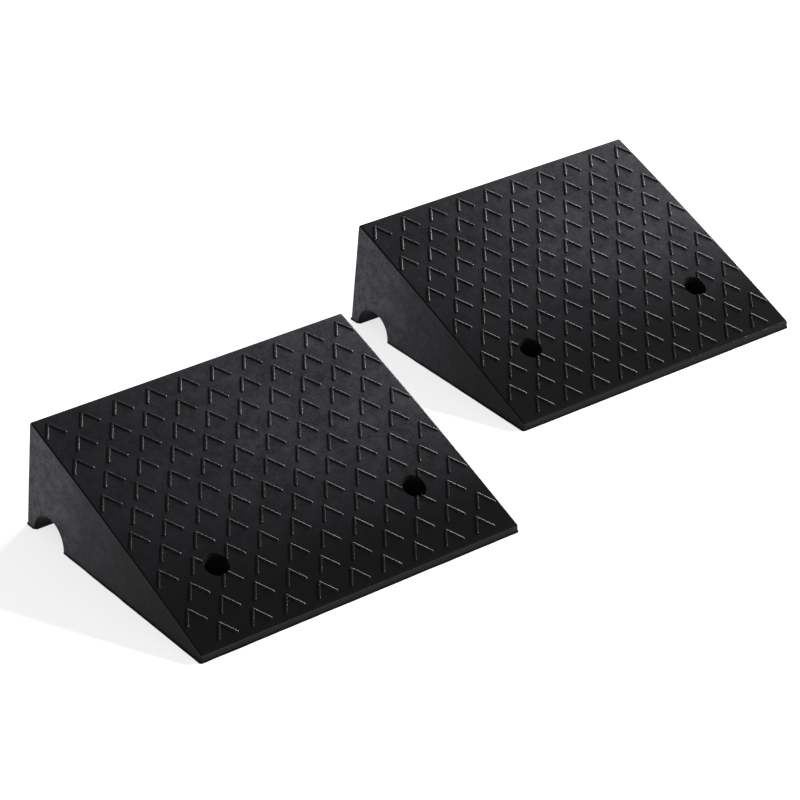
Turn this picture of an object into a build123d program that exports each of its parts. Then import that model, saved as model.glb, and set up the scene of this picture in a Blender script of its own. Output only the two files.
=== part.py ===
from build123d import *
from math import asin, atan, cos, degrees, hypot, sin, sqrt
import os

# A pair of moulded rubber kerb ramps, each a wedge that stands on its own base.
# Millimetres. +X runs across the ramps, +Y from the toe to the high back, +Z up.
# The origin is on the ground, in the middle of the pair's outline.

# ---- Driving dimensions of one ramp ------------------------------------------------
WIDTH = 490.0           # across the wheel track, at the base
DEPTH = 370.0           # from the toe to the back, at the base
RISE = 150.0            # height of the back edge
TOE = 11.0              # height of the upright face at the toe
CROWN = 3.0             # how far the slope bulges above a straight line
DRAFT = 0.025           # mould draft: how far an upright face leans in per unit of height

BACK_ROUND = 4.0        # radius along the top back edge
TOE_ROUND = 3.5         # radius along the toe's top edge
SIDE_ROUND = 2.0        # radius all round each side face, except along the ground
LIP = 1.6               # the thin flash lip stands this far out around the base
LIP_HEIGHT = 1.5
LIP_ROOT = 1.0          # the lip's overlap with the body that it stands out from

# ---- Channel through the base, for water or a cable ---------------------------------
CHANNEL_R = 30.0        # half-round section, centred on the ground
MOUTH_ROUND = 4.0       # radius around each of the channel's two open ends
BACK_LEG = 19.0         # thickness of the leg behind the channel

# ---- Bolt wells near the toe ---------------------------------------------------------
WELL_SPACING = 304.8    # between the two wells, 12 inches
WELL_FROM_TOE = 98.5    # measured level, from the base's toe edge
WELL_R = 16.5           # access well, open at the slope
WELL_FLOOR = 14.0       # height of the well's floor above the ground
BORE_R = 7.0            # bolt bore below the floor, for an M12 anchor
WASHER_R = 21.0         # steel washer, moulded in flush with the well's floor
WASHER_T = 4.0

# ---- Chevron tread -------------------------------------------------------------------
ROWS = 12
LONG_ROW = 10           # chevrons in the first row and every other row after it
COLUMN_PITCH = 49.6
ROW_PITCH = 31.45       # measured along the slope
FIRST_ROW = 14.5        # from the back edge to the first row's points, along the slope
ARM_X = 13.4            # one arm's reach to the side, on its centre line
ARM_Y = 20.0            # one arm's reach down the slope
BAR_R = 2.3             # section radius of an arm
BAR_SINK = 0.4          # depth of that section's centre below the slope

# ---- Weight-saving pockets under the slope -------------------------------------------
SKIN = 15.0             # rubber left above the pockets
CELL = 44.0             # across the flats of a hexagonal pocket
RIB = 9.0               # between pockets
EDGE_WALL = 17.0        # between the pockets and an outer face or the channel
WELL_WALL = 9.0         # between the pockets and a well
MIN_POCKET = 8.0        # the shallowest pocket worth moulding

# ---- How the pair stands ---------------------------------------------------------------
PAIR_X = 654.0          # centre to centre across the ramps
PAIR_Y = 181.0          # the right ramp stands this much further back

# ---- Derived values ----------------------------------------------------------------------
HALF_W = WIDTH / 2
HALF_D = DEPTH / 2
TOP_BACK = (HALF_D - DRAFT * RISE, RISE)
TOP_TOE = (-HALF_D + DRAFT * TOE, TOE)
CHORD = hypot(TOP_BACK[0] - TOP_TOE[0], TOP_BACK[1] - TOP_TOE[1])
PITCH_COS = (TOP_BACK[0] - TOP_TOE[0]) / CHORD
PITCH_SIN = (TOP_BACK[1] - TOP_TOE[1]) / CHORD
SLOPE_R = CHORD**2 / (8 * CROWN) + CROWN / 2
MIDDLE = ((TOP_BACK[0] + TOP_TOE[0]) / 2, (TOP_BACK[1] + TOP_TOE[1]) / 2)
SLOPE_CENTRE = (
    MIDDLE[0] + (SLOPE_R - CROWN) * PITCH_SIN,
    MIDDLE[1] - (SLOPE_R - CROWN) * PITCH_COS,
)
HALF_ARC = asin(CHORD / 2 / SLOPE_R)
CHANNEL_Y = HALF_D - BACK_LEG - CHANNEL_R
WELL_Y = -HALF_D + WELL_FROM_TOE
WELL_X = WELL_SPACING / 2
DRAFT_ANGLE = degrees(atan(DRAFT))
OVERCUT = 10.0          # how far a cutting tool runs past the face that it cuts


def slope_point(angle):
    """Point (y, z) on the slope at an angle up or down from its middle, and its normal."""
    normal = (
        -PITCH_SIN * cos(angle) + PITCH_COS * sin(angle),
        PITCH_COS * cos(angle) + PITCH_SIN * sin(angle),
    )
    point = (SLOPE_CENTRE[0] + SLOPE_R * normal[0], SLOPE_CENTRE[1] + SLOPE_R * normal[1])
    return point, normal


def slope_plane(x, from_back):
    """Plane on the slope: local X across, local Y up the slope, Z straight out of it."""
    point, normal = slope_point(HALF_ARC - from_back / SLOPE_R)
    return Plane(origin=(x, *point), x_dir=(1, 0, 0), z_dir=(0, *normal))


def wedge():
    """The plain outer body: crowned slope, drafted faces and rounded edges."""
    crest, _ = slope_point(0)
    outline = Curve() + [
        Line((-HALF_D, 0), (HALF_D, 0)),
        Line((HALF_D, 0), TOP_BACK),
        ThreePointArc(TOP_BACK, crest, TOP_TOE),
        Line(TOP_TOE, (-HALF_D, 0)),
    ]
    section = make_face(outline)
    corners = section.vertices()
    section = fillet([v for v in corners if v.Y > RISE / 2], BACK_ROUND)
    corners = section.vertices()
    section = fillet([v for v in corners if LIP_HEIGHT < v.Y < RISE / 2], TOE_ROUND)
    blank = extrude(Plane.YZ * section, amount=HALF_W, both=True)
    sides = extrude(Rectangle(WIDTH, DEPTH + 2 * OVERCUT), amount=RISE, taper=DRAFT_ANGLE)
    body = blank & sides
    rims = body.edges().filter_by(Axis.X, reverse=True)
    return fillet([e for e in rims if e.center().Z > LIP_HEIGHT], SIDE_ROUND)


def channel(radius):
    """A round bar on the channel's axis, longer than the ramp is wide."""
    return Pos(0, CHANNEL_Y, 0) * extrude(Plane.YZ * Circle(radius), HALF_W + OVERCUT, both=True)


def with_channel(body):
    """The body with the channel cut through it and both of the channel's ends rounded."""
    body = body - channel(CHANNEL_R)
    mouths = body.edges().filter_by(Axis.X, reverse=True)
    mouths = mouths.filter_by_position(Axis.Y, CHANNEL_Y - CHANNEL_R, CHANNEL_Y + CHANNEL_R)
    return fillet(mouths, MOUTH_ROUND)


def lip():
    """The flash lip: a thin frame around the base, open where the channel passes."""
    outer = RectangleRounded(WIDTH + 2 * LIP, DEPTH + 2 * LIP, SIDE_ROUND + LIP)
    inner = Rectangle(WIDTH - 2 * LIP_ROOT, DEPTH - 2 * LIP_ROOT)
    return extrude(outer - inner, LIP_HEIGHT) - channel(CHANNEL_R + MOUTH_ROUND)


def chevron():
    """One raised chevron, lying on the XY plane with its point at the origin."""
    length = hypot(ARM_X, ARM_Y)
    shape = Sphere(BAR_R)
    for side in (-1, 1):
        direction = Vector(side * ARM_X, -ARM_Y, 0)
        arm = extrude(Plane((0, 0, 0), z_dir=direction) * Circle(BAR_R), length)
        end = Pos(direction) * Sphere(BAR_R)
        shape = shape + arm + end
    return Pos(0, 0, -BAR_SINK) * shape


def tread():
    """All the chevrons, in staggered rows down the slope."""
    pattern = chevron()
    pieces = []
    for row in range(ROWS):
        count = LONG_ROW - row % 2
        for column in range(count):
            x = (column - (count - 1) / 2) * COLUMN_PITCH
            plane = slope_plane(x, FIRST_ROW + row * ROW_PITCH)
            pieces.append(plane.location * pattern)
    return pieces


def pocket_cells():
    """Centres of the hexagonal pockets that fit between the walls, channel and wells."""
    pitch = CELL + RIB
    corner_r = CELL / sqrt(3)
    back_limit = CHANNEL_Y - CHANNEL_R - EDGE_WALL - corner_r
    cells = []
    row = 0
    y = back_limit
    while pocket_roof(y - corner_r) > MIN_POCKET:
        shift = pitch / 2 * (row % 2)
        columns = int((HALF_W - EDGE_WALL - CELL / 2 - shift) / pitch)
        xs = [shift + i * pitch for i in range(-columns, columns + 1)]
        if shift:
            xs.append(shift - (columns + 1) * pitch)
        for x in xs:
            clear = WELL_R + WELL_WALL + corner_r
            if hypot(abs(x) - WELL_X, y - WELL_Y) > clear:
                cells.append((x, y))
        row += 1
        y -= pitch * sqrt(3) / 2
    return cells


def pocket_roof(y):
    """Height of the pockets' roof, a plane parallel to the slope and SKIN below it."""
    return TOP_TOE[1] + (y - TOP_TOE[0]) * PITCH_SIN / PITCH_COS - SKIN / PITCH_COS


def pockets():
    """The moulded pockets, open at the base."""
    front, rear = -HALF_D, HALF_D
    roof = Plane.YZ * make_face(
        Polyline(
            (front, -OVERCUT),
            (rear, -OVERCUT),
            (rear, pocket_roof(rear)),
            (front, pocket_roof(front)),
            close=True,
        )
    )
    limit = extrude(roof, amount=HALF_W, both=True)
    hexagon = RegularPolygon(CELL / sqrt(3), 6, rotation=30)
    cells = [Pos(x, y, -OVERCUT) * extrude(hexagon, RISE) for x, y in pocket_cells()]
    return [cell & limit for cell in cells]


def washers():
    """The two steel washers of one ramp, in place at the floors of its wells."""
    ring = Cylinder(WASHER_R, WASHER_T) - Cylinder(BORE_R, WASHER_T)
    height = WELL_FLOOR - WASHER_T / 2
    return [Pos(side * WELL_X, WELL_Y, height) * ring for side in (-1, 1)]


def ramp():
    """One finished ramp moulding, centred on its own footprint."""
    body = with_channel(wedge()) + lip() + tread()
    well = Pos(0, 0, WELL_FLOOR) * extrude(Circle(WELL_R), RISE)
    bore = Pos(0, 0, -OVERCUT) * extrude(Circle(BORE_R), RISE)
    seat = Pos(0, 0, WELL_FLOOR - WASHER_T / 2) * Cylinder(WASHER_R, WASHER_T)
    cuts = [Pos(side * WELL_X, WELL_Y, 0) * cut for side in (-1, 1) for cut in (well, bore, seat)]
    return body - cuts - pockets()


def main():
    os.makedirs("parts", exist_ok=True)
    moulding = ramp()
    places = {
        "left": Pos(-PAIR_X / 2, -PAIR_Y / 2, 0),
        "right": Pos(PAIR_X / 2, PAIR_Y / 2, 0),
    }
    for name, place in places.items():
        export_step(place * moulding, f"parts/{name}_ramp.step", write_pcurves=False)
        for position, washer in zip(("left", "right"), washers()):
            export_step(place * washer, f"parts/{name}_ramp_{position}_washer.step")


main()
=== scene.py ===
from math import asin, atan2, cos, hypot, pi, radians, sin, sqrt, tan

import bmesh
import bpy
from mathutils import Matrix, Vector, noise


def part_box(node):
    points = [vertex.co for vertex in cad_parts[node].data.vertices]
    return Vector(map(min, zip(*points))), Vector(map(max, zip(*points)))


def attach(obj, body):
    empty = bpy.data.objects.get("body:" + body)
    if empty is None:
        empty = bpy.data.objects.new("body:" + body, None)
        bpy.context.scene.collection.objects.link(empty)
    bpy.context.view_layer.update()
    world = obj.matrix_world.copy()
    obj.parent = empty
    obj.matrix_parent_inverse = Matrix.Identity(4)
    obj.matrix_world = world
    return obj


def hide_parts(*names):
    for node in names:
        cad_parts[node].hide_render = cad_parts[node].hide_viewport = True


# A pair of moulded rubber kerb ramps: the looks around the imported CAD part.
# Metres. +X runs across the ramps, +Y from the toe to the high back, +Z up.

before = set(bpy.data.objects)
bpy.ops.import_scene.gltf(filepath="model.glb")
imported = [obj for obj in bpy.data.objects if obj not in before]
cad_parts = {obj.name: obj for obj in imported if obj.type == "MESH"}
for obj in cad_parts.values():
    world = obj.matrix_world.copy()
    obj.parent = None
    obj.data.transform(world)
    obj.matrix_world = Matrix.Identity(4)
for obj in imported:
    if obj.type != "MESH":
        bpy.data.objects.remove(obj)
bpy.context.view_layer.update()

MM = 0.001

# ---- One ramp, in its own frame: origin on the ground in the middle of its footprint ------
LIP = 1.6 * MM                  # flash lip, proud of the base
LIP_HEIGHT = 1.5 * MM
LIP_WAVE = 0.9 * MM             # how far the lip's torn edge wanders in
LIP_NOISE = 40.0                # how fast it wanders, in noise cells per metre
LIP_SEEDS = {"left": 3.0, "right": 10.0}
DRAFT = 0.025                   # how far an upright face leans in per unit of height
TOE = 11.0 * MM                 # height of the upright face at the toe
RISE = 150.0 * MM               # height of the back edge before it is rounded
CROWN = 3.0 * MM                # how far the slope bulges above a straight line
BACK_ROUND = 4.0 * MM
TOE_ROUND = 3.5 * MM
SIDE_ROUND = 2.6 * MM           # a little over the CAD solid's, so that the rims show
CHANNEL_R = 30.0 * MM
MOUTH_ROUND = 4.0 * MM
BACK_LEG = 19.0 * MM            # thickness of the leg behind the channel

WELL_SPACING = 304.8 * MM
WELL_FROM_TOE = 98.5 * MM       # measured level, from the base's toe edge
WELL_R = 16.5 * MM
WELL_FLOOR = 14.0 * MM          # height of the well's floor above the ground
BORE_R = 7.0 * MM
WASHER_R = 21.0 * MM
WASHER_T = 4.0 * MM

ROWS = 12
LONG_ROW = 10                   # chevrons in the first row and every other row after it
COLUMN_PITCH = 49.6 * MM
ROW_PITCH = 31.45 * MM          # measured along the slope
FIRST_ROW = 14.5 * MM           # from the back edge to the first row's points
ARM_X = 13.4 * MM               # one arm's reach to the side, on its centre line
ARM_Y = 20.0 * MM               # one arm's reach down the slope
BAR_R = 2.3 * MM                # section radius of a chevron's arm
BAR_SINK = 0.4 * MM             # depth of that section's centre below the slope

SKIN = 15.0 * MM                # rubber left above the pockets
CELL = 44.0 * MM                # across the flats of a hexagonal pocket
RIB = 9.0 * MM                  # between pockets
EDGE_WALL = 17.0 * MM           # between the pockets and an outer face or the channel
WELL_WALL = 9.0 * MM            # between the pockets and a well
MIN_POCKET = 8.0 * MM           # the shallowest pocket worth moulding
POCKET_DRAFT = 0.02

SIDES = ("left", "right")
ramp_boxes = {side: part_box(f"{side}_ramp") for side in SIDES}
low, high = ramp_boxes["left"]
HALF_W = (high.x - low.x) / 2 - LIP
HALF_D = (high.y - low.y) / 2 - LIP

TOP_BACK = (HALF_D - DRAFT * RISE, RISE)
TOP_TOE = (-HALF_D + DRAFT * TOE, TOE)
RUN = TOP_BACK[0] - TOP_TOE[0]
CLIMB = TOP_BACK[1] - TOP_TOE[1]
CHORD = hypot(RUN, CLIMB)
PITCH_COS = RUN / CHORD
PITCH_SIN = CLIMB / CHORD
SLOPE_R = CHORD**2 / (8 * CROWN) + CROWN / 2
HALF_ARC = asin(CHORD / 2 / SLOPE_R)
MIDDLE = ((TOP_BACK[0] + TOP_TOE[0]) / 2, (TOP_BACK[1] + TOP_TOE[1]) / 2)
SLOPE_CENTRE = (
    MIDDLE[0] + (SLOPE_R - CROWN) * PITCH_SIN,
    MIDDLE[1] - (SLOPE_R - CROWN) * PITCH_COS,
)
CHANNEL_Y = HALF_D - BACK_LEG - CHANNEL_R
WELL_X = WELL_SPACING / 2
WELL_Y = -HALF_D + WELL_FROM_TOE
OVERCUT = 10.0 * MM             # how far a cutter runs past the face that it cuts

# ---- How finely the curves are divided ----------------------------------------------------
SLOPE_STEPS = 24                # along the crowned slope
ROUND_STEPS = 5                 # in each rounded edge
BAR_STEPS = 8                   # over a quarter of a chevron's section
ARM_END_STEPS = 10              # around the end of a chevron's arm
POINT_STEPS = 6                 # around a chevron's point
WELL_STEPS = 72
CHANNEL_STEPS = 96
LIP_STEPS = 360                 # all the way around the base
MOUTH_SWEEP = radians(80)       # how far the mouths' rounding turns before it runs out
FLAT = radians(1.5)             # faces that meet at less than this belong to one broad face
SHARP = radians(38)             # edges that meet at more than this stay sharp


# ---- Geometry helpers ---------------------------------------------------------------------
def new_object(name, bm):
    """A linked object from a bmesh, with its faces turned outwards."""
    bmesh.ops.recalc_face_normals(bm, faces=bm.faces)
    mesh = bpy.data.meshes.new(name)
    bm.to_mesh(mesh)
    bm.free()
    obj = bpy.data.objects.new(name, mesh)
    bpy.context.scene.collection.objects.link(obj)
    return obj


def boolean(target, tool, operation):
    """Joins or cuts target with tool, a closed mesh that is then thrown away."""
    modifier = target.modifiers.new("bool", "BOOLEAN")
    modifier.operation = operation
    modifier.solver = "MANIFOLD"
    modifier.object = tool
    graph = bpy.context.evaluated_depsgraph_get()
    result = bpy.data.meshes.new_from_object(target.evaluated_get(graph))
    target.modifiers.clear()
    old = target.data
    target.data = result
    bpy.data.meshes.remove(old)
    spent = tool.data
    bpy.data.objects.remove(tool)
    bpy.data.meshes.remove(spent)


def loft(bm, rings):
    """Quads between closed rings of vertices, with both ends filled."""
    count = len(rings[0])
    for lower, upper in zip(rings, rings[1:]):
        for i in range(count):
            j = (i + 1) % count
            bm.faces.new((lower[i], lower[j], upper[j], upper[i]))
    bm.faces.new(rings[0])
    bm.faces.new(rings[-1])


def prism(bm, outline, bottom, top):
    """A closed upright prism on an (x, y) outline, between two heights."""
    loft(bm, [[bm.verts.new((x, y, height)) for x, y in outline] for height in (bottom, top)])


def circle(x, y, radius, steps, turn=0.0):
    """Points evenly spaced around a circle, the first one at the angle turn."""
    angles = [turn + 2 * pi * i / steps for i in range(steps)]
    return [(x + radius * cos(a), y + radius * sin(a)) for a in angles]


def rounded(points, radii):
    """The closed polygon, with each corner replaced by an arc of its radius."""
    outline = []
    for i, (corner, radius) in enumerate(zip(points, radii)):
        corner = Vector(corner)
        if not radius:
            outline.append(corner)
            continue
        before = (Vector(points[i - 1]) - corner).normalized()
        after = (Vector(points[(i + 1) % len(points)]) - corner).normalized()
        half = before.angle(after) / 2
        centre = corner + (before + after).normalized() * radius / sin(half)
        start = corner + before * radius / tan(half) - centre
        end = corner + after * radius / tan(half) - centre
        sweep = start.angle(end)
        for step in range(ROUND_STEPS + 1):
            t = step / ROUND_STEPS
            start_share = sin((1 - t) * sweep) / sin(sweep)
            end_share = sin(t * sweep) / sin(sweep)
            outline.append(centre + start * start_share + end * end_share)
    return outline


def inset(outline, amount):
    """The closed outline, drawn in by an amount everywhere except along the ground."""
    moved = []
    for i, point in enumerate(outline):
        arriving = (point - outline[i - 1]).normalized()
        leaving = (outline[(i + 1) % len(outline)] - point).normalized()
        along = (arriving + leaving).normalized()
        inward = Vector((-along.y, along.x)) / along.dot(leaving)
        if point.y == 0.0:
            inward = Vector((-1.0 if point.x > 0 else 1.0, 0.0))
        moved.append(point + inward * amount)
    return moved


# ---- The slope's surface ------------------------------------------------------------------
def slope_frame(x, from_back):
    """Matrix that stands a piece on the slope: X across, Y up the slope, Z straight out."""
    angle = HALF_ARC - from_back / SLOPE_R
    ny = -PITCH_SIN * cos(angle) + PITCH_COS * sin(angle)
    nz = PITCH_COS * cos(angle) + PITCH_SIN * sin(angle)
    place = Vector((x, SLOPE_CENTRE[0] + SLOPE_R * ny, SLOPE_CENTRE[1] + SLOPE_R * nz))
    columns = (Vector((1, 0, 0)), Vector((0, nz, -ny)), Vector((0, ny, nz)))
    turn = Matrix(columns).transposed().to_4x4()
    return Matrix.Translation(place) @ turn


def slope_line():
    """Points (y, z) down the crowned slope, from the back's top corner to the toe's."""
    length = 2 * HALF_ARC * SLOPE_R
    frames = [slope_frame(0, length * i / SLOPE_STEPS) for i in range(SLOPE_STEPS + 1)]
    return [(f.translation.y, f.translation.z) for f in frames]


def pocket_roof(y):
    """Height of the pockets' roof, parallel to the slope's chord and SKIN below it."""
    return TOP_TOE[1] + (y - TOP_TOE[0]) * PITCH_SIN / PITCH_COS - SKIN / PITCH_COS


# ---- Parts of one moulding ----------------------------------------------------------------
def blank():
    """The wedge with its drafted sides, rounded rims and crowned slope."""
    slope = slope_line()
    points = [(-HALF_D, 0.0), (HALF_D, 0.0)] + slope
    radii = [0.0, 0.0, BACK_ROUND] + [0.0] * (len(slope) - 2) + [TOE_ROUND]
    outline = rounded(points, radii)
    turns = [pi / 2 * i / ROUND_STEPS for i in range(ROUND_STEPS + 1)]
    stations = [(-1, t) for t in turns] + [(1, t) for t in reversed(turns)]
    bm = bmesh.new()
    rings = []
    for side, t in stations:
        edge = HALF_W - SIDE_ROUND * (1 - cos(t))
        section = inset(outline, SIDE_ROUND * (1 - sin(t)))
        rings.append([bm.verts.new((side * (edge - DRAFT * z), y, z)) for y, z in section])
    loft(bm, rings)
    return new_object("blank", bm)


def flash_lip(seed):
    """The thin flash left around the base, with a torn, wandering edge."""
    half_x = HALF_W + LIP
    half_y = HALF_D + LIP
    frame_corners = [(-half_x, -half_y), (half_x, -half_y), (half_x, half_y), (-half_x, half_y)]
    smooth = rounded(frame_corners, [SIDE_ROUND + LIP] * 4)
    edges = [(smooth[i], smooth[(i + 1) % len(smooth)]) for i in range(len(smooth))]
    perimeter = sum((b - a).length for a, b in edges)
    outline = []
    for a, b in edges:
        pieces = max(1, round(LIP_STEPS * (b - a).length / perimeter))
        for i in range(pieces):
            p = a.lerp(b, i / pieces)
            torn = 0.5 + 0.5 * noise.noise(Vector((p.x * LIP_NOISE, p.y * LIP_NOISE, seed)))
            shrink = LIP_WAVE * torn
            outline.append((p.x - shrink * p.x / half_x, p.y - shrink * p.y / half_y))
    bm = bmesh.new()
    prism(bm, outline, 0.0, LIP_HEIGHT)
    return new_object("lip", bm)


def chevron_ring(offset):
    """The outline at a distance from a chevron's centre line, which points up at the origin."""
    length = hypot(ARM_X, ARM_Y)
    half_angle = atan2(ARM_X, ARM_Y)
    ring = []

    def arc(centre, first, last, steps):
        for i in range(steps + 1):
            a = first + (last - first) * i / steps
            ring.append((centre[0] + offset * cos(a), centre[1] + offset * sin(a)))

    left_end = (-length * sin(half_angle), -length * cos(half_angle))
    right_end = (-left_end[0], left_end[1])
    arc(right_end, -pi + half_angle, half_angle, ARM_END_STEPS)
    arc((0.0, 0.0), half_angle, pi - half_angle, POINT_STEPS)
    arc(left_end, pi - half_angle, 2 * pi - half_angle, ARM_END_STEPS)
    ring.append((0.0, -offset / sin(half_angle)))
    return ring


def tread():
    """All the raised chevrons, in staggered rows down the slope."""
    turns = [pi / 2 * (i + 1) / BAR_STEPS for i in range(BAR_STEPS)]
    layers = [(chevron_ring(BAR_R * sin(t)), BAR_R * cos(t) - BAR_SINK) for t in turns]
    layers.append((chevron_ring(BAR_R), -2 * BAR_SINK))
    bm = bmesh.new()
    for row in range(ROWS):
        count = LONG_ROW - row % 2
        for column in range(count):
            x = (column - (count - 1) / 2) * COLUMN_PITCH
            place = slope_frame(x, FIRST_ROW + row * ROW_PITCH)
            rings = [
                [bm.verts.new(place @ Vector((px, py, height))) for px, py in ring]
                for ring, height in layers
            ]
            loft(bm, rings)
    return new_object("tread", bm)


def channel():
    """The half-round channel's cutter, across the whole base, with its two mouths flared."""
    flared = CHANNEL_R + MOUTH_ROUND
    mouth = [(HALF_W + OVERCUT, flared), (HALF_W + LIP, flared)]
    for i in range(ROUND_STEPS, -1, -1):
        t = MOUTH_SWEEP * i / ROUND_STEPS
        mouth.append((HALF_W - MOUTH_ROUND * (1 - sin(t)), CHANNEL_R + MOUTH_ROUND * (1 - cos(t))))
    stations = [(-x, radius) for x, radius in mouth] + mouth[::-1]
    bm = bmesh.new()
    rings = []
    for x, radius in stations:
        side = 1 if x > 0 else -1
        outline = circle(CHANNEL_Y, 0.0, radius, CHANNEL_STEPS)
        rings.append([bm.verts.new((x - side * DRAFT * max(z, 0.0), y, z)) for y, z in outline])
    loft(bm, rings)
    return new_object("channel", bm)


def round_holes(radius, bottom, top):
    """A cutter with one upright cylinder at each bolt well."""
    bm = bmesh.new()
    for side in (-1, 1):
        prism(bm, circle(side * WELL_X, WELL_Y, radius, WELL_STEPS), bottom, top)
    return new_object("holes", bm)


def pocket_cells():
    """Centres of the hexagonal pockets that fit between the walls, channel and wells."""
    pitch = CELL + RIB
    corner_r = CELL / sqrt(3)
    cells = []
    row = 0
    y = CHANNEL_Y - CHANNEL_R - EDGE_WALL - corner_r
    while pocket_roof(y - corner_r) > MIN_POCKET:
        shift = pitch / 2 * (row % 2)
        columns = int((HALF_W - EDGE_WALL - CELL / 2 - shift) / pitch)
        xs = [shift + i * pitch for i in range(-columns, columns + 1)]
        if shift:
            xs.append(shift - (columns + 1) * pitch)
        for x in xs:
            if hypot(abs(x) - WELL_X, y - WELL_Y) > WELL_R + WELL_WALL + corner_r:
                cells.append((x, y))
        row += 1
        y -= pitch * sqrt(3) / 2
    return cells


def pockets():
    """The weight-saving pockets' cutter: drafted hexagons with a sloping roof."""
    bm = bmesh.new()
    corner_r = CELL / sqrt(3)
    for x, y in pocket_cells():
        hexagon = circle(x, y, corner_r, 6, turn=pi / 6)
        lower = [bm.verts.new((px, py, -OVERCUT)) for px, py in hexagon]
        upper = []
        for px, py in hexagon:
            roof = pocket_roof(py)
            shrink = 1 - POCKET_DRAFT * roof / corner_r
            upper.append(bm.verts.new((x + (px - x) * shrink, y + (py - y) * shrink, roof)))
        loft(bm, [lower, upper])
    return new_object("pockets", bm)


def region_areas(bm):
    """For each face, the area of the whole nearly flat region that it belongs to."""
    region = {}
    areas = []
    for seed in bm.faces:
        if seed in region:
            continue
        region[seed] = len(areas)
        area = 0.0
        stack = [seed]
        while stack:
            face = stack.pop()
            area += face.calc_area()
            for edge in face.edges:
                if len(edge.link_faces) != 2 or edge.calc_face_angle() > FLAT:
                    continue
                for other in edge.link_faces:
                    if other not in region:
                        region[other] = region[seed]
                        stack.append(other)
        areas.append(area)
    return {face: areas[number] for face, number in region.items()}


def even_normals(mesh):
    """Corner normals that follow the broadest face at each corner, so thin faces don't smear."""
    bm = bmesh.new()
    bm.from_mesh(mesh)
    weights = region_areas(bm)
    normals = []
    for face in bm.faces:
        for loop in face.loops:
            total = Vector()
            for other in loop.vert.link_faces:
                if other.normal.dot(face.normal) > cos(SHARP):
                    total += other.normal * weights[other]
            normals.append(total.normalized())
    bm.free()
    mesh.shade_smooth()
    mesh.normals_split_custom_set(normals)


def moulding(name, seed):
    """One whole ramp as a single closed mesh."""
    body = blank()
    boolean(body, flash_lip(seed), "UNION")
    boolean(body, tread(), "UNION")
    boolean(body, channel(), "DIFFERENCE")
    boolean(body, pockets(), "DIFFERENCE")
    boolean(body, round_holes(WASHER_R, WELL_FLOOR - WASHER_T, WELL_FLOOR), "DIFFERENCE")
    boolean(body, round_holes(BORE_R, -OVERCUT, WELL_FLOOR), "DIFFERENCE")
    boolean(body, round_holes(WELL_R, WELL_FLOOR - WASHER_T / 2, RISE), "DIFFERENCE")
    body.name = name
    even_normals(body.data)
    return body


# ---- Node helpers -------------------------------------------------------------------------
def new_material(name):
    """A material, its node tree and its surface shader."""
    material = bpy.data.materials.new(name)
    material.use_nodes = True
    tree = material.node_tree
    return material, tree, tree.nodes["Principled BSDF"]


def noise_node(tree, coordinates, scale, detail, roughness):
    node = tree.nodes.new("ShaderNodeTexNoise")
    node.inputs["Scale"].default_value = scale
    node.inputs["Detail"].default_value = detail
    node.inputs["Roughness"].default_value = roughness
    tree.links.new(coordinates, node.inputs["Vector"])
    return node.outputs["Fac"]


def ramp_node(tree, value, stops):
    """The colour that a value picks from a list of (place, colour) stops."""
    node = tree.nodes.new("ShaderNodeValToRGB")
    node.color_ramp.elements.remove(node.color_ramp.elements[1])
    for i, (place, colour) in enumerate(stops):
        element = node.color_ramp.elements[0] if i == 0 else node.color_ramp.elements.new(place)
        element.position = place
        element.color = (*colour, 1.0)
    tree.links.new(value, node.inputs["Fac"])
    return node.outputs["Color"]


def math_node(tree, operation, *values):
    """A math node on values that are each a plain number or another node's output."""
    node = tree.nodes.new("ShaderNodeMath")
    node.operation = operation
    for socket, value in zip(node.inputs, values):
        if isinstance(value, (int, float)):
            socket.default_value = value
        else:
            tree.links.new(value, socket)
    return node.outputs[0]


def add(tree, first, *others):
    """The sum of all the values."""
    for other in others:
        first = math_node(tree, "ADD", first, other)
    return first


def multiply(tree, first, *others):
    """The product of all the values."""
    for other in others:
        first = math_node(tree, "MULTIPLY", first, other)
    return first


def magnitude(tree, value):
    """The value without its sign."""
    return math_node(tree, "ABSOLUTE", value)


def mix(tree, factor, a, b):
    """a where factor is 0 and b where it is 1."""
    return add(tree, a, multiply(tree, math_node(tree, "SUBTRACT", b, a), factor))


def fade(tree, value, start, end):
    """0 up to start, 1 from end on, and smooth between; start may be the larger of the two."""
    node = tree.nodes.new("ShaderNodeMapRange")
    node.interpolation_type = "SMOOTHSTEP"
    node.inputs["From Min"].default_value = start
    node.inputs["From Max"].default_value = end
    tree.links.new(value, node.inputs["Value"])
    return node.outputs["Result"]


def distance_node(tree, place, centre, stretch=(1.0, 1.0, 1.0)):
    """Distance from a centre, in units of stretch along each axis."""
    mapping = tree.nodes.new("ShaderNodeMapping")
    mapping.vector_type = "TEXTURE"
    mapping.inputs["Location"].default_value = centre
    mapping.inputs["Scale"].default_value = stretch
    tree.links.new(place, mapping.inputs["Vector"])
    length = tree.nodes.new("ShaderNodeVectorMath")
    length.operation = "LENGTH"
    tree.links.new(mapping.outputs["Vector"], length.inputs[0])
    return length.outputs["Value"]


def distance_in_section(tree, place, centre):
    """Distance from a point (y, z) of the ramp's upright section, whatever X is."""
    flat = tree.nodes.new("ShaderNodeVectorMath")
    flat.operation = "MULTIPLY"
    flat.inputs[1].default_value = (0.0, 1.0, 1.0)
    tree.links.new(place, flat.inputs[0])
    return distance_node(tree, flat.outputs["Vector"], (0.0, *centre))


def separated(tree, vector):
    """The X, Y and Z outputs of a vector."""
    node = tree.nodes.new("ShaderNodeSeparateXYZ")
    tree.links.new(vector, node.inputs[0])
    return node.outputs


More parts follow.
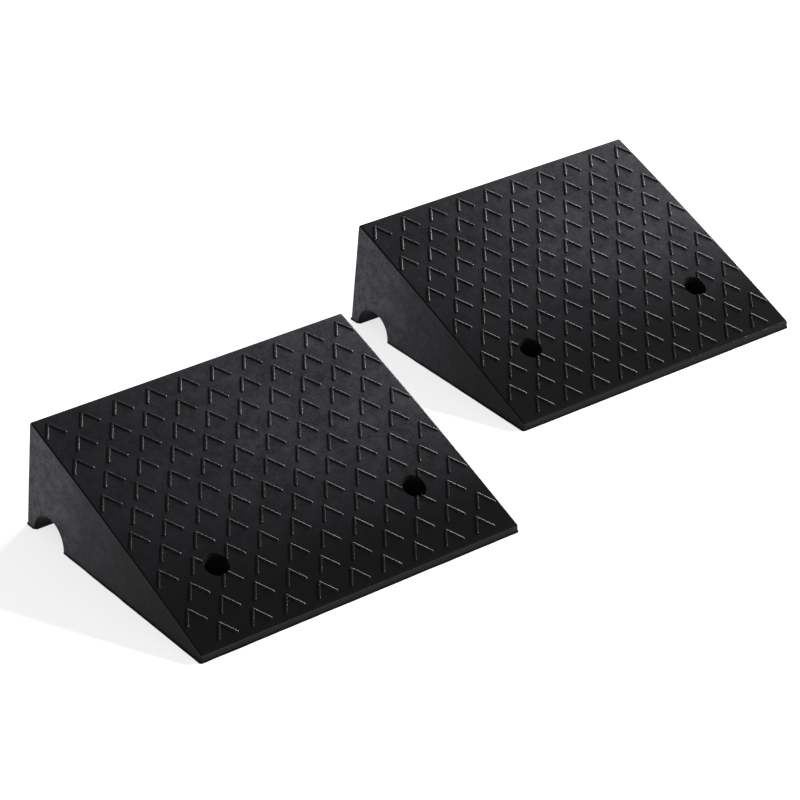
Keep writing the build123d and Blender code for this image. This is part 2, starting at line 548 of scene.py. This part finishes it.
# ---- Rubber: black, with a grey bloom on the slope and the upright faces that also carries painted sheen and shade ---
# Noise patterns: cells per metre, detail and roughness
CLOUD = (14.0, 5.0, 0.6)
MOTTLE = (85.0, 4.0, 0.65)
GRAIN = (420.0, 3.0, 0.6)
FLECK = (1300.0, 2.0, 0.5)
PATCH_SPREAD = (0.32, 0.68)     # the noise values that become no bloom and full bloom
GRAIN_SPREAD = (0.35, 0.65)
CLOUD_SHARE = 0.45              # shares of the bloom's patchiness
MOTTLE_SHARE = 0.45
GRAIN_SHARE = 0.50
EVEN_SHARE = 0.30

SLOPE_FACING = (0.84, 0.925)    # upward lean of a normal: on a chevron's flank, on the slope; flanks and rims get no bloom, as painted shade
SQUARE_ON = (0.97, 0.999)       # how squarely a face has to point to the side or the back; rims that don't get no bloom, as painted shade
UPRIGHT = (0.2, 0.05)           # upward lean of a normal: on a leaning face, on an upright one

SLOPE_BLOOM_AND_SHEEN = 0.31              # bloom on the slope, the sides and the back; the slope's also holds its painted sheen
SIDE_BLOOM = 0.77
BACK_BLOOM = 0.40
SLOPE_SHADED_TOE = 30.0 * MM         # painted shade: the slope has no bloom nearer than this to the base's toe edge and all of it from this far behind the ramp's middle
SLOPE_FULL = 50.0 * MM          # and all of it from this far behind the ramp's middle
LEFT_GAIN = 0.34                # painted sheen: the slope's bloom grows from the left edge to the right
RIGHT_GAIN = 1.40
ACROSS_SPAN = (-1.1 * HALF_W, 1.2 * HALF_W)
ALONG_SPAN = (-1.4 * HALF_D, 1.2 * HALF_D)      # painted shade: the sides' bloom grows from toe to back, so they are darker towards the toe

SCUFF_PLACE = (12.0 * MM, 45.0 * MM, 100.0 * MM)
SCUFF_REACH = (55.0 * MM, 40.0 * MM, 200.0 * MM)
SCUFF_SPREAD = (1.0, 0.2)       # from the scuff's edge to its core, in units of its reach
SCUFF_BLOOM = 0.12

RUBBER_TONES = [                # from clean rubber to full bloom with painted sheen
    (0.00, (0.0040, 0.0040, 0.0048)),
    (0.50, (0.0410, 0.0405, 0.0475)),
    (1.00, (0.1000, 0.0990, 0.1130)),
]
CLEAN_ROUGHNESS = 0.17          # on the slope, without bloom
BLOOM_ROUGHNESS = 0.24          # on the slope, where the bloom reaches ROUGH_BLOOM
ROUGH_BLOOM = 0.4
UPRIGHT_ROUGHNESS = 0.80
WORN_ROUGHNESS = 0.24           # on the chevrons' tops
CHANNEL_ROUGHNESS = 0.95
WORN_HEIGHT = (0.8 * MM, 1.7 * MM)      # above the slope: where wear starts, where it is full
CHANNEL_SHADE_REACH = 1.0 * MM         # painted shade: the channel's inside, kept free of bloom, reaches this far beyond its wall
RUBBER_SPECULAR = 0.22
BUMP_STRENGTH = 0.45
BUMP_HEIGHT = 0.2 * MM
FLECK_HEIGHT = 0.5              # the flecks' height beside the grain's
WORN_BUMP = 0.1                 # the share of the bump that is left on the chevrons' tops


def patchiness(tree, mottle, place, grain):
    """How the bloom varies over any face: broad clouds, mottle and specks on an even base."""
    cloud = fade(tree, noise_node(tree, place, *CLOUD), *PATCH_SPREAD)
    specks = fade(tree, grain, *GRAIN_SPREAD)
    return add(
        tree,
        multiply(tree, cloud, CLOUD_SHARE),
        multiply(tree, mottle, MOTTLE_SHARE),
        multiply(tree, specks, GRAIN_SHARE),
        EVEN_SHARE,
    )


def slope_bloom_and_painted_sheen(tree, position, facing):
    """Bloom and painted sheen on the slope, which fades towards the toe and the left edge as
    painted shade; the chevrons' flanks and the rims get none, as painted shade.
    """
    # Painted sheen and shade: lighter towards the back and the right edge, darker towards the toe,
    # the left edge, the rims and the chevrons' flanks.
    up_slope = fade(tree, position["Y"], -HALF_D + SLOPE_SHADED_TOE, SLOPE_FULL)
    across = fade(tree, position["X"], *ACROSS_SPAN)
    upward = fade(tree, facing["Z"], *SLOPE_FACING)
    return multiply(tree, up_slope, mix(tree, across, LEFT_GAIN, RIGHT_GAIN), upward, SLOPE_BLOOM_AND_SHEEN)


def wall_bloom_and_painted_shade(tree, position, facing):
    """Bloom on the sides and the back, which fades towards the toe as painted shade; rims that
    don't face squarely get none, as painted shade.
    """
    # Painted shade: darker towards the toe and on the rims.
    sideways = fade(tree, magnitude(tree, facing["X"]), *SQUARE_ON)
    rearward = fade(tree, facing["Y"], *SQUARE_ON)
    along = fade(tree, position["Y"], *ALONG_SPAN)
    walls = add(tree, multiply(tree, sideways, SIDE_BLOOM), multiply(tree, rearward, BACK_BLOOM))
    return multiply(tree, math_node(tree, "POWER", along, 2.0), walls)


def rubber():
    """Black moulded rubber with patchy grey bloom that carries painted sheen and shade, a fine
    grain and worn chevron tops.
    """
    material, tree, shader = new_material("moulded_rubber")
    coordinates = tree.nodes.new("ShaderNodeTexCoord")
    place = coordinates.outputs["Object"]
    position = separated(tree, place)
    facing = separated(tree, coordinates.outputs["Normal"])

    mottle = fade(tree, noise_node(tree, place, *MOTTLE), *PATCH_SPREAD)
    grain = noise_node(tree, place, *GRAIN)
    # The bloom carries painted light: sheen on the slope, and shade towards the toe, on the rims
    # and on the chevrons' flanks.
    bloom_and_painted_light = add(tree, slope_bloom_and_painted_sheen(tree, position, facing), wall_bloom_and_painted_shade(tree, position, facing))
    bloom_and_painted_light = multiply(tree, bloom_and_painted_light, patchiness(tree, mottle, place, grain))
    scuff = fade(tree, distance_node(tree, place, SCUFF_PLACE, SCUFF_REACH), *SCUFF_SPREAD)
    bloom_and_painted_light = add(tree, bloom_and_painted_light, multiply(tree, scuff, mottle, SCUFF_BLOOM))
    # Painted shade inside the channel: no bloom within it.
    from_axis = distance_in_section(tree, place, (CHANNEL_Y, 0.0))
    outside_painted_channel_shade = fade(tree, from_axis, CHANNEL_R + CHANNEL_SHADE_REACH, CHANNEL_R + MOUTH_ROUND)
    bloom_and_painted_light = multiply(tree, bloom_and_painted_light, outside_painted_channel_shade)
    tree.links.new(ramp_node(tree, bloom_and_painted_light, RUBBER_TONES), shader.inputs["Base Color"])

    from_centre = distance_in_section(tree, place, SLOPE_CENTRE)
    worn = fade(tree, math_node(tree, "SUBTRACT", from_centre, SLOPE_R), *WORN_HEIGHT)
    upright = fade(tree, magnitude(tree, facing["Z"]), *UPRIGHT)
    rough = mix(tree, fade(tree, bloom_and_painted_light, 0.0, ROUGH_BLOOM), CLEAN_ROUGHNESS, BLOOM_ROUGHNESS)
    rough = mix(tree, upright, rough, UPRIGHT_ROUGHNESS)
    rough = mix(tree, worn, rough, WORN_ROUGHNESS)
    rough = mix(tree, outside_painted_channel_shade, CHANNEL_ROUGHNESS, rough)
    tree.links.new(rough, shader.inputs["Roughness"])
    shader.inputs["Specular IOR Level"].default_value = RUBBER_SPECULAR

    bump = tree.nodes.new("ShaderNodeBump")
    bump.inputs["Strength"].default_value = BUMP_STRENGTH
    bump.inputs["Distance"].default_value = BUMP_HEIGHT
    height = add(tree, grain, multiply(tree, noise_node(tree, place, *FLECK), FLECK_HEIGHT))
    height = multiply(tree, height, mix(tree, worn, 1.0, WORN_BUMP))
    tree.links.new(height, bump.inputs["Height"])
    tree.links.new(bump.outputs["Normal"], shader.inputs["Normal"])
    return material


# ---- Steel --------------------------------------------------------------------------------
STAIN = (160.0, 4.0, 0.55)      # noise: cells per metre, detail and roughness
STEEL_TONES = [(0.35, (0.30, 0.29, 0.27)), (0.55, (0.50, 0.50, 0.49)), (0.75, (0.60, 0.60, 0.58))]
STEEL_ROUGHNESS = [(0.3, (0.55, 0.55, 0.55)), (0.7, (0.34, 0.34, 0.34))]


def steel():
    """Dull zinc-plated steel, with stains that are darker and rougher."""
    material, tree, shader = new_material("zinc_steel")
    place = tree.nodes.new("ShaderNodeTexCoord").outputs["Object"]
    stain = noise_node(tree, place, *STAIN)
    tree.links.new(ramp_node(tree, stain, STEEL_TONES), shader.inputs["Base Color"])
    tree.links.new(ramp_node(tree, stain, STEEL_ROUGHNESS), shader.inputs["Roughness"])
    shader.inputs["Metallic"].default_value = 1.0
    return material


# ---- Stage, light and camera --------------------------------------------------------------
FLOOR_RADIUS = 40.0
FLOOR_STEPS = 64
FLOOR_TONE = 0.86
FLOOR_GLOW = 0.74               # light that the floor gives off, so that it looks nearly white
FLOOR_ROUGHNESS = 0.9
FLOOR_SPECULAR = 0.1
WORLD_STRENGTH = 0.20

# Area lights: name, place, the point that it faces, size across and up, power in watts
LIGHTS = [
    ("side", (13.2, 4.8, 5.2), (0.0, 0.0, 0.05), (6.8, 6.0), 2400.0),
    ("glint", (10.4, -4.6, 6.2), (0.0, 0.0, 0.0), (1.3, 1.3), 1800.0),
]

CAMERA_PLACE = (-2.3766, -2.7515, 2.1806)
CAMERA_HEADING = radians(40.17)     # clockwise from +Y
CAMERA_DOWN = radians(30.63)
CAMERA_ROLL = radians(2.68)
CAMERA_LENS = 143.9                 # millimetres, on the sensor below
CAMERA_SENSOR = 36.0


def add_floor():
    bm = bmesh.new()
    bmesh.ops.create_circle(bm, cap_ends=True, segments=FLOOR_STEPS, radius=FLOOR_RADIUS)
    floor = new_object("floor", bm)
    if floor.data.polygons[0].normal.z < 0:
        floor.data.flip_normals()
    material, _, shader = new_material("pale_floor")
    shader.inputs["Base Color"].default_value = (FLOOR_TONE, FLOOR_TONE, FLOOR_TONE, 1.0)
    shader.inputs["Emission Color"].default_value = (1.0, 1.0, 1.0, 1.0)
    shader.inputs["Emission Strength"].default_value = FLOOR_GLOW
    shader.inputs["Roughness"].default_value = FLOOR_ROUGHNESS
    shader.inputs["Specular IOR Level"].default_value = FLOOR_SPECULAR
    floor.data.materials.append(material)


def add_light(name, place, target, size, power):
    data = bpy.data.lights.new(name, "AREA")
    data.shape = "RECTANGLE"
    data.size, data.size_y = size
    data.energy = power
    light = bpy.data.objects.new(name, data)
    light.location = place
    light.rotation_euler = (Vector(target) - Vector(place)).to_track_quat("-Z", "Y").to_euler()
    bpy.context.scene.collection.objects.link(light)


def add_world():
    world = bpy.data.worlds.new("studio")
    world.use_nodes = True
    background = world.node_tree.nodes["Background"]
    background.inputs["Color"].default_value = (1.0, 1.0, 1.0, 1.0)
    background.inputs["Strength"].default_value = WORLD_STRENGTH
    bpy.context.scene.world = world


def add_camera():
    ahead = Vector((
        sin(CAMERA_HEADING) * cos(CAMERA_DOWN),
        cos(CAMERA_HEADING) * cos(CAMERA_DOWN),
        -sin(CAMERA_DOWN),
    ))
    level = ahead.cross(Vector((0, 0, 1))).normalized()
    above = level.cross(ahead)
    right = level * cos(CAMERA_ROLL) + above * sin(CAMERA_ROLL)
    up = above * cos(CAMERA_ROLL) - level * sin(CAMERA_ROLL)
    data = bpy.data.cameras.new("camera")
    data.lens = CAMERA_LENS
    data.sensor_width = CAMERA_SENSOR
    camera = bpy.data.objects.new("camera", data)
    turn = Matrix((right, up, -ahead)).transposed().to_4x4()
    camera.matrix_world = Matrix.Translation(CAMERA_PLACE) @ turn
    bpy.context.scene.collection.objects.link(camera)
    bpy.context.scene.camera = camera


# ---- Making -------------------------------------------------------------------------------
add_camera()
add_floor()
add_world()
for light in LIGHTS:
    add_light(*light)
bpy.context.scene.view_settings.view_transform = "Standard"

rubber_material = rubber()
steel_material = steel()
for side in SIDES:
    box_low, box_high = ramp_boxes[side]
    piece = moulding(f"{side}_ramp_moulding", LIP_SEEDS[side])
    piece.location = ((box_low.x + box_high.x) / 2, (box_low.y + box_high.y) / 2, 0.0)
    piece.data.materials.clear()
    piece.data.materials.append(rubber_material)
    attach(piece, f"{side}_ramp")
    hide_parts(f"{side}_ramp")

for name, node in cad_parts.items():
    if name.endswith("washer"):
        node.data.materials.clear()
        node.data.materials.append(steel_material)
